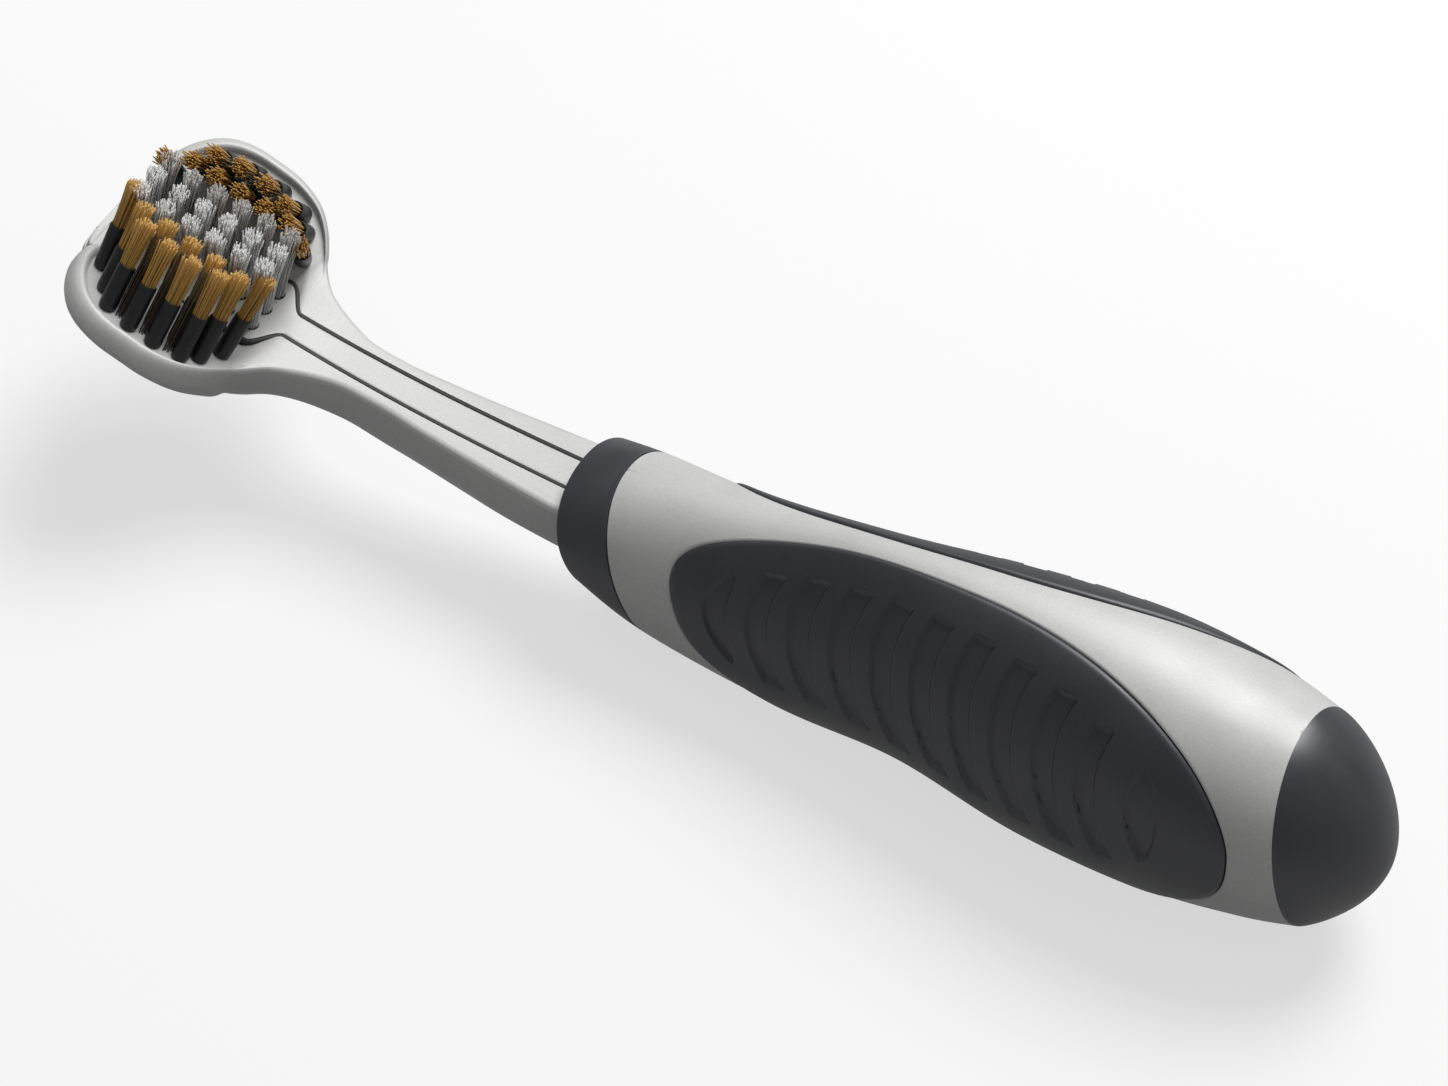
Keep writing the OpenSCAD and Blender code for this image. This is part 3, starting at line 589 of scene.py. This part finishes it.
def neckRow(s):
    # rails of the neck's right half at a distance from the head's start, as (s, y, h)
    run = neckLength + s
    wanted = min(run / (neckLength + neck["root"]), 1)
    low, high = 0.0, 1.0
    for _ in range(30):
        u = (low + high) / 2
        low, high = (u, high) if along(neck["places"], u) < wanted else (low, u)
    flat = along(neck["widths"], low) * neck["topWidth"] / 2
    swell = flat + neck["swell"]
    depth = along(neck["depths"], low) * neck["depth"]
    drop = along(neck["drops"], low) * neck["depth"]
    inner = stripHalf(run) + sideLook["inlayEdge"]
    shoulder = max(flat - 0.9, mix(inner, flat, 0.6))
    row = [(s, inner, 0), (s, mix(inner, shoulder, 1 / 3), 0), (s, mix(inner, shoulder, 2 / 3), 0)]
    row += [(s, mix(shoulder, flat, k), -0.03 * k) for k in (0, 0.35, 0.7, 1)]
    row += [(s, mix(flat, swell, a), -drop * b - 0.03) for a, b in ((0.38, 0.08), (0.68, 0.24), (0.88, 0.5))]
    for a in (0, 16, 36, 56, 74, 90):
        row.append((s, max(roundPower(cosDeg(a), neck["power"]) * swell, 0),
                    -drop - roundPower(sinDeg(a), neck["power"]) * (depth - drop)))
    row.append((s, inner, -1.6))
    return row


def wingRow(spot):
    s, reach, full, deep, partner = spot
    wallRow = []
    for inset, drop in wingWall:
        keep = (1 - inset / wing["span"][0], 1 - inset / wing["span"][1])
        strength = full if drop <= wing["floor"] else deep
        wallRow.append((mix(wing["centre"][0], s, keep[0]), mix(wing["centre"][1], reach, keep[1]),
                        mix(wing["floor"], drop, strength)))
    spine, edge = (partner, sideLook["spine"], wing["floor"]), wallRow[0]
    row = [wingLocal(*[mix(a, b, k) for a, b in zip(spine, edge)]) for k in (0, 1 / 3, 2 / 3)]
    row += [wingLocal(*p) for p in wallRow]
    row.append(wingLocal(partner, sideLook["spine"], mix(wing["floor"], sideLook["underside"], deep)))
    return row


def hermite(knots, values, t):
    # smooth curve through values at uneven knots, which never swings past them
    last = len(knots) - 1
    i = 0
    while i < last - 1 and t > knots[i + 1]:
        i += 1

    def slope(k):
        a, b = max(k - 1, 0), min(k + 1, last)
        if a == k or b == k:
            return (values[b] - values[a]) / (knots[b] - knots[a])
        before = (values[k] - values[a]) / (knots[k] - knots[a])
        after = (values[b] - values[k]) / (knots[b] - knots[k])
        if before * after <= 0:
            return 0
        share = (knots[k] - knots[a]) / (knots[b] - knots[a])
        most = 2.5 * min(abs(before), abs(after))
        return min(max(before * (1 - share) + after * share, -most), most)

    h = knots[i + 1] - knots[i]
    x = (t - knots[i]) / h
    return (values[i] * (2 * x ** 3 - 3 * x ** 2 + 1) + values[i + 1] * (3 * x ** 2 - 2 * x ** 3)
            + slope(i) * h * (x ** 3 - 2 * x ** 2 + x) + slope(i + 1) * h * (x ** 3 - x ** 2))


def sideRings():
    look = sideLook
    rows = [neckRow(run - neckLength) for run in look["neckRuns"]]
    rows += [neckRow(s) for s in (0, 0.9)]
    first = wingRow(wingOutline[0])
    for s, share in look["rootRows"]:
        plain = neckRow(min(s, neck["root"]))
        row = [tuple(mix(a, b, share) for a, b in zip(p, q)) for p, q in zip(plain, first)]
        inner = stripHalf(neckLength + s) + look["inlayEdge"]
        height = mix(0, first[0][2], smooth(share))
        row[0] = (s, inner, height)
        row[-1] = (s, inner, height - look["rootDepth"])
        rows.append(row)
    rows += [wingRow(spot) for spot in wingOutline]
    knots = [0.0]
    for a, b in zip(rows, rows[1:]):
        paces = [(Vector(b[k]) - Vector(a[k])).length for k in look["paced"]]
        knots.append(knots[-1] + max(sum(paces) / len(paces), look["shortest"]))
    rings = []
    for i in range(len(rows) - 1):
        for step in range(look["perRow"] + (i == len(rows) - 2)):
            t = mix(knots[i], knots[i + 1], step / look["perRow"])
            rail = [Vector([hermite(knots, [row[k][axis] for row in rows], t) for axis in range(3)])
                    for k in range(len(rows[0]))]
            ring = [rail[0]]
            for k in range(len(rail) - 2):
                for part in range(1, look["perRail"] + 1):
                    share = (k + part / look["perRail"]) / (len(rail) - 2)
                    ring.append(Vector([along([p[axis] for p in rail[:-1]], share) for axis in range(3)]))
            ring.append(rail[-1])
            rings.append([neckPoint(neckLength + p[0], max(p[1], 0), p[2]) for p in ring])
    return rings


def addSides():
    points, faces = loft(sideRings())
    for name, own in (("right_wing", points), ("left_wing", mirrored(points))):
        piece = makeObject(name + "_skin", own, faces, 55)
        piece.data.materials.append(made["satinSilver"])
        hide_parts(name)
        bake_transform(piece)


addSides()
print("neck sides and wings made")

# Centre piece: the band between the inlays, which widens into the tongue
centreLook = {"edge": 0.14, "clear": 0.25, "bandDepth": 1.3, "endWidth": 27.1,
              "bellyPlaces": [-4, -2, 0, 2, 4, 7, 11, 20, 28],
              "bellyWidths": [1.2, 2.0, 3.0, 4.4, 5.0, 5.1, 5.1, 5.1, 5.0],
              "bellyDepths": [5.5, 7.0, 7.6, 7.0, 6.2, 5.3, 4.6, 4.4, 3.0]}


def centreSection(s, width, slant):
    look = centreLook
    run = neckLength + s
    if s < look["bellyPlaces"][0]:
        belly, depth = min(width, 1.2), look["bandDepth"] + 0.2
    else:
        belly = hermite(look["bellyPlaces"], look["bellyWidths"], s)
        depth = hermite(look["bellyPlaces"], look["bellyDepths"], s)
    belly = min(belly, width)
    if s > 24:
        belly = width
    e, r = min(look["edge"], width / 3), min(1.0, belly / 2)
    side = look["bandDepth"]
    # sideways, height and share of the end's slant, from the middle of the top round to the underside
    right = [(0, 0, 1), (width * 0.5, 0, 1), (width - 2 * e, 0, 1), (width - e, -0.01, 1),
             (width - e * 0.3, -e * 0.4, 1), (width, -e, 1), (width, -side, 0.6),
             (belly, -max(side, depth - 2 * r), 0.4),
             (belly - 0.12 * r, -(depth - 0.6 * r), 0), (belly - 0.5 * r, -(depth - 0.18 * r), 0),
             (belly - r, -depth, 0), (belly * 0.4, -depth, 0)]
    ring = [neckPoint(run - slant * share, y, h) for y, h, share in right]
    other = [neckPoint(run - slant * share, -y, h) for y, h, share in reversed(right[1:])]
    return ring + [neckPoint(run, 0, -depth)] + other


def addCentre():
    look = centreLook
    rings = []
    places = [-neckLength * (1 - k / 40) for k in range(40)] + [0.3 * k for k in range(0, 20)]
    places += [mix(6, 26.2, k / 20) for k in range(21)] + [26.6, 26.9]
    for s in places:
        width = stripHalf(neckLength + s) - look["clear"]
        rings.append(centreSection(s, width, head["slant"] * smooth((s - 26.2) / 0.9)))
    width = stripHalf(neckLength + 26) - look["clear"]
    # the end of the tongue is bowed
    for k in range(0, 10):
        a = 9.4 * k
        bow = sinDeg(a)
        rings.append(centreSection(look["endWidth"] + (head["tongue"] - look["endWidth"]) * bow,
                                   max(width * cosDeg(a) ** 0.8, 0.25), head["slant"]))
    points, faces = loft(rings)
    piece = makeObject("neck_body_centre", points, faces, 35)
    return dress(piece, "handle", "silver_plastic", made["satinSilver"], "neck_body")


addCentre()
print("tongue made")

# Elastomer lines: along the neck, out at the head and on between the tongue and the wings
stripLook = {"width": 0.5, "wide": 0.62, "depth": 0.7, "skirt": 3.0, "steps": 150, "end": 26.0, "proud": 0.03}


def addStrip(name, side):
    look = stripLook
    rings = []
    total = neckLength + look["end"]
    for i in range(look["steps"] + 1):
        run = total * (i / look["steps"]) if i < look["steps"] else total
        ahead, behind = min(run + 0.05, total), max(run - 0.05, 0)
        dy, ds = stripHalf(ahead) - stripHalf(behind), ahead - behind
        size = math.hypot(dy, ds)
        normal = (-dy / size, ds / size)
        s = run - neckLength
        half = mix(look["width"], look["wide"], smooth((s + 12) / 12) * (1 - smooth((s - 4) / 2))) / 2
        deep = mix(look["depth"], look["skirt"], smooth((s - 1.5) / 1.5))
        ring = []
        for across, h in ((-1, -deep), (-1, -0.08), (-0.75, 0), (0, look["proud"]),
                          (0.75, 0), (1, -0.08), (1, -deep)):
            ring.append(neckPoint(min(max(run + normal[0] * half * across, 0), total),
                                  side * (stripHalf(run) + normal[1] * half * across), h))
        rings.append(ring)
    points, faces = loft(rings)
    piece = makeObject(name + "_line", points, faces, 60)
    return dress(piece, "handle", "inlay_rubber", made["inlayRubber"], name)


addStrip("right_hinge_strip", 1)
addStrip("left_hinge_strip", -1)
print("elastomer lines made")

# Tufts: bundles of fine filaments, splayed and ragged at the tip
tuftLook = {"filaments": 62, "slimFilaments": 12, "thick": 0.18, "tip": 0.55, "splay": 0.66,
            "splays": (0.5, 1.15), "ragged": 0.05, "crown": 0.03, "wander": 0.096, "turn": 2.39996,
            "sides": 4, "sunk": 0.4, "seed": 7, "slimShare": 0.94, "slimRadius": 0.55}
# how far up a filament each of its rings is, and how far it has splayed there
tuftSteps = ((0, 0), (0.45, 0.12), (0.8, 0.55), (0.97, 0.94), (1, 1))
sleeveLook = {"outer": 1.1, "inner": 0.9, "share": 0.475, "turns": 28, "sunk": 0.35}


def filaments(points, faces, heights, foot, way, height, radius, count, rng):
    # foot and way are vectors; every filament is a thin square rod of four lengths
    look = tuftLook
    way = way.normalized()
    sideways, across = axesAcross(way)
    corners = [2 * math.pi * k / look["sides"] for k in range(look["sides"])]
    for i in range(count):
        r = radius * math.sqrt((i + 0.5) / count)
        a = i * look["turn"] + rng.uniform(-0.2, 0.2)
        base = sideways * (r * math.cos(a)) + across * (r * math.sin(a))
        spread = 1 + look["splay"] * rng.uniform(*look["splays"])
        drift = (sideways * rng.gauss(0, 1) + across * rng.gauss(0, 1)) * look["wander"]
        top = height * (1 - look["ragged"] * rng.random() - look["crown"] * (r / radius) ** 2)
        spin = rng.uniform(0, math.pi)
        rings = []
        for share, wide in tuftSteps:
            middle = foot + base * mix(1, spread, wide) + drift * wide
            middle = middle + way * (top * share - look["sunk"] * (1 - share))
            thin = look["thick"] / 2 * (look["tip"] if share == 1 else 1)
            rings.append([middle + sideways * (thin * math.cos(spin + q))
                          + across * (thin * math.sin(spin + q)) for q in corners])
        addLoft(points, faces, rings)
        heights += [share for share, wide in tuftSteps for _ in corners] + [0, 1]


def tuftObject(name, body, slot, finish, node, tufts, side=1):
    rng = random.Random(tuftLook["seed"] + len(name))
    points, faces, heights = [], [], []
    for foot, way, height, radius, count in tufts:
        filaments(points, faces, heights, foot, way, height, radius, count, rng)
    mesh = bpy.data.meshes.new(name)
    points = points if side > 0 else mirrored(points)
    faces = faces if side > 0 else [tuple(reversed(face)) for face in faces]
    mesh.from_pydata([p * mm for p in points], [], faces)
    up = mesh.attributes.new("up", "FLOAT", "POINT")
    up.data.foreach_set("value", heights)
    mesh.shade_smooth()
    piece = bpy.data.objects.new(name, mesh)
    bpy.context.scene.collection.objects.link(piece)
    if node:
        return dress(piece, body, slot, finish, node)
    return dress(piece, body, slot, finish)


def headWay(inward, fan):
    # direction of a tuft that leans inwards and along the head
    a = head["pitch"]
    x, y, z = sinDeg(fan) * cosDeg(inward), -sinDeg(inward), cosDeg(fan) * cosDeg(inward)
    return Vector((x * cosDeg(a) + z * sinDeg(a), y, -x * sinDeg(a) + z * cosDeg(a)))


def tongueTufts(columns):
    out = []
    for k in range(bristles["rows"]):
        for y in columns:
            last = k == bristles["rows"] - 1
            height = bristles["length"] + (bristles["tipExtra"] if last else 0)
            out.append((headPoint(bristles["firstRow"] + k * bristles["pitch"], y, 0), headWay(0, 0), height,
                        bristles["foot"] / 2, tuftLook["filaments"]))
    return out


def wingPlaces():
    # places (s, reach, inward lean, fan) of the gold tufts of a wing, then those of the slim ones
    row = lambda k: bristles["firstRow"] + k * bristles["pitch"]
    outer = lambda s: bristles["outerRow"] - bristles["outerBend"] * (s - head["tongue"] / 2) ** 2
    gold = [(row(k), outer(row(k)), bristles["lean"], 0) for k in range(1, bristles["rows"] - 1)]
    gold += [(row(k + 0.5), bristles["innerRow"], bristles["lean"], 0) for k in range(bristles["rows"] - 1)]
    gold += [(s, bristles["endRow"], lean, fan) for s, lean, fan
             in zip((bristles["rootTuft"], bristles["tipTuft"]), bristles["endLean"], bristles["endFan"])]
    slim = [(row(k + 0.5), bristles["slimRow"], bristles["lean"], 0) for k in range(1, bristles["rows"] - 2)]
    return gold, slim


def addTufts():
    tuftObject("white_tuft_rows", "handle", "white_nylon", made["whiteStrands"], "white_tufts",
               tongueTufts((-bristles["column"], 0)))
    tuftObject("clear_tuft_row", "handle", "clear_nylon", made["clearStrands"], "clear_tufts",
               tongueTufts((bristles["column"],)))
    gold, slim = wingPlaces()
    for name, side in (("right", 1), ("left", -1)):
        body = name + "_wing"
        goldTufts = [(headPoint(*wingLocal(s, v, wing["floor"])), headWay(lean, fan), bristles["length"],
                      bristles["foot"] / 2, tuftLook["filaments"]) for s, v, lean, fan in gold]
        tuftObject(name + "_gold_tufts", body, "gold_nylon", made["goldStrands"], name + "_wing_tufts",
                   goldTufts, side)
        slimTufts = [(headPoint(*wingLocal(s, v, wing["floor"])), headWay(lean, fan),
                      bristles["length"] * tuftLook["slimShare"], tuftLook["slimRadius"],
                      tuftLook["slimFilaments"]) for s, v, lean, fan in slim]
        # the slim clear-nylon tufts take the dark finish of painted shade between the gold tufts
        tuftObject(name + "_slim_tufts", body, "clear_nylon", made["shadedSlimStrands"], None, slimTufts, side)


addTufts()
print("tufts made")


def addSleeves(name, side):
    look = sleeveLook
    points, faces = [], []
    top = look["share"] * bristles["length"]
    profile = [(0.3, -look["sunk"]), (0.8, -look["sunk"] + 0.04), (1.0, 0.0), (look["outer"], 0.45),
               (look["outer"], top * 0.5), (look["outer"], top - 0.2), (look["outer"] - 0.04, top - 0.07),
               (look["outer"] - 0.1, top), (look["inner"] + 0.04, top - 0.03), (look["inner"], top - 0.14),
               (look["inner"], 0.4)]
    for s, v, lean, fan in wingPlaces()[0]:
        foot, way = headPoint(*wingLocal(s, v, wing["floor"])), headWay(lean, fan).normalized()
        addLoft(points, faces, roundRings(profile, foot, way, look["turns"]))
    piece = makeObject(name + "_tubes", points if side > 0 else mirrored(points), faces, 50)
    return dress(piece, name.split("_")[0] + "_wing", "black_rubber", made["blackRubberAndShade"], name)


addSleeves("right_sleeves", 1)
addSleeves("left_sleeves", -1)
print("sleeves made")

# Small black rings of painted shade round the feet of the tongue's tufts
footShadeLook = {"turns": 24, "profile": [(0.5, -0.3), (0.5, 0.004), (0.8, 0.012), (0.98, 0.004), (0.98, -0.3)]}


def addFootShadeRings():
    look = footShadeLook
    points, faces = [], []
    for foot, way, height, radius, count in tongueTufts((-bristles["column"], 0, bristles["column"])):
        addLoft(points, faces, roundRings(look["profile"], foot, way, look["turns"]))
    piece = makeObject("tuft_foot_shade_rings", points, faces, 50)
    # the black finish here is painted shade round each tuft's foot
    return dress(piece, "handle", "black_rubber", made["blackRubberAndShade"])


addFootShadeRings()

# Inside, the core and the plug keep their solids
for part in frame["record"]["subparts"]:
    node = frame["nodes"][part["node"]]
    if part["node"] in ("handle_core", "cap_plug"):
        node.data.materials.clear()
        node.data.materials.append(made["corePlastic"])
print("core and plug finished")

# Studio: a broad lamp behind and above, a dim even sky and a white floor
studio = {"sky": 0.25, "watts": 6.4, "lampSize": 0.55, "lampPlace": (0.06, 0.46, 0.74), "aim": (0, 0, 0.01),
          "floorSize": 4, "floor": 0.36, "glow": 0.625, "gloss": 0.4, "bounce": 0.14}


def floorFinish():
    # white to the eye, with its shadows; greyer in gloss and where it lights the brush
    white = bpy.data.materials.new("studioFloor")
    white.use_nodes = True
    tree = white.node_tree
    shader = tree.nodes["Principled BSDF"]
    shader.inputs["Roughness"].default_value = 0.9
    shader.inputs["Specular IOR Level"].default_value = 0.0
    ray = tree.nodes.new("ShaderNodeLightPath")
    either = tree.nodes.new("ShaderNodeMath")
    either.operation = "MULTIPLY_ADD"
    either.inputs[1].default_value = studio["gloss"]
    seen = tree.nodes.new("ShaderNodeMath")
    seen.operation = "MAXIMUM"
    colour = tree.nodes.new("ShaderNodeMix")
    colour.data_type = "RGBA"
    colour.inputs[6].default_value = (studio["bounce"], studio["bounce"], studio["bounce"], 1)
    colour.inputs[7].default_value = (studio["floor"], studio["floor"], studio["floor"], 1)
    tree.links.new(ray.outputs["Is Glossy Ray"], either.inputs[0])
    tree.links.new(ray.outputs["Is Camera Ray"], either.inputs[2])
    tree.links.new(either.outputs[0], seen.inputs[0])
    tree.links.new(ray.outputs["Is Transmission Ray"], seen.inputs[1])
    glow = tree.nodes.new("ShaderNodeMath")
    glow.operation = "MULTIPLY"
    glow.inputs[1].default_value = studio["glow"]
    shader.inputs["Emission Color"].default_value = (1, 1, 1, 1)
    tree.links.new(seen.outputs[0], glow.inputs[0])
    tree.links.new(glow.outputs[0], shader.inputs["Emission Strength"])
    tree.links.new(seen.outputs[0], colour.inputs[0])
    tree.links.new(colour.outputs[2], shader.inputs["Base Color"])
    return white


def addStudio():
    world = bpy.data.worlds.new("studio")
    bpy.context.scene.world = world
    world.use_nodes = True
    background = world.node_tree.nodes["Background"]
    background.inputs["Color"].default_value = (1, 1, 1, 1)
    background.inputs["Strength"].default_value = studio["sky"]
    light = bpy.data.lights.new("key", "AREA")
    light.shape, light.size, light.energy = "DISK", studio["lampSize"], studio["watts"]
    lamp = bpy.data.objects.new("key", light)
    lamp.location = Vector(studio["lampPlace"])
    lamp.rotation_mode = "QUATERNION"
    lamp.rotation_quaternion = (lamp.location - Vector(studio["aim"])).to_track_quat("Z", "Y")
    bpy.context.scene.collection.objects.link(lamp)
    shape = bmesh.new()
    bmesh.ops.create_grid(shape, x_segments=8, y_segments=8, size=studio["floorSize"])
    mesh = bpy.data.meshes.new("floor")
    shape.to_mesh(mesh)
    shape.free()
    floor = bpy.data.objects.new("floor", mesh)
    bpy.context.scene.collection.objects.link(floor)
    mesh.materials.append(floorFinish())


addStudio()
bpy.context.scene.view_settings.view_transform = "Standard"
print("studio set")
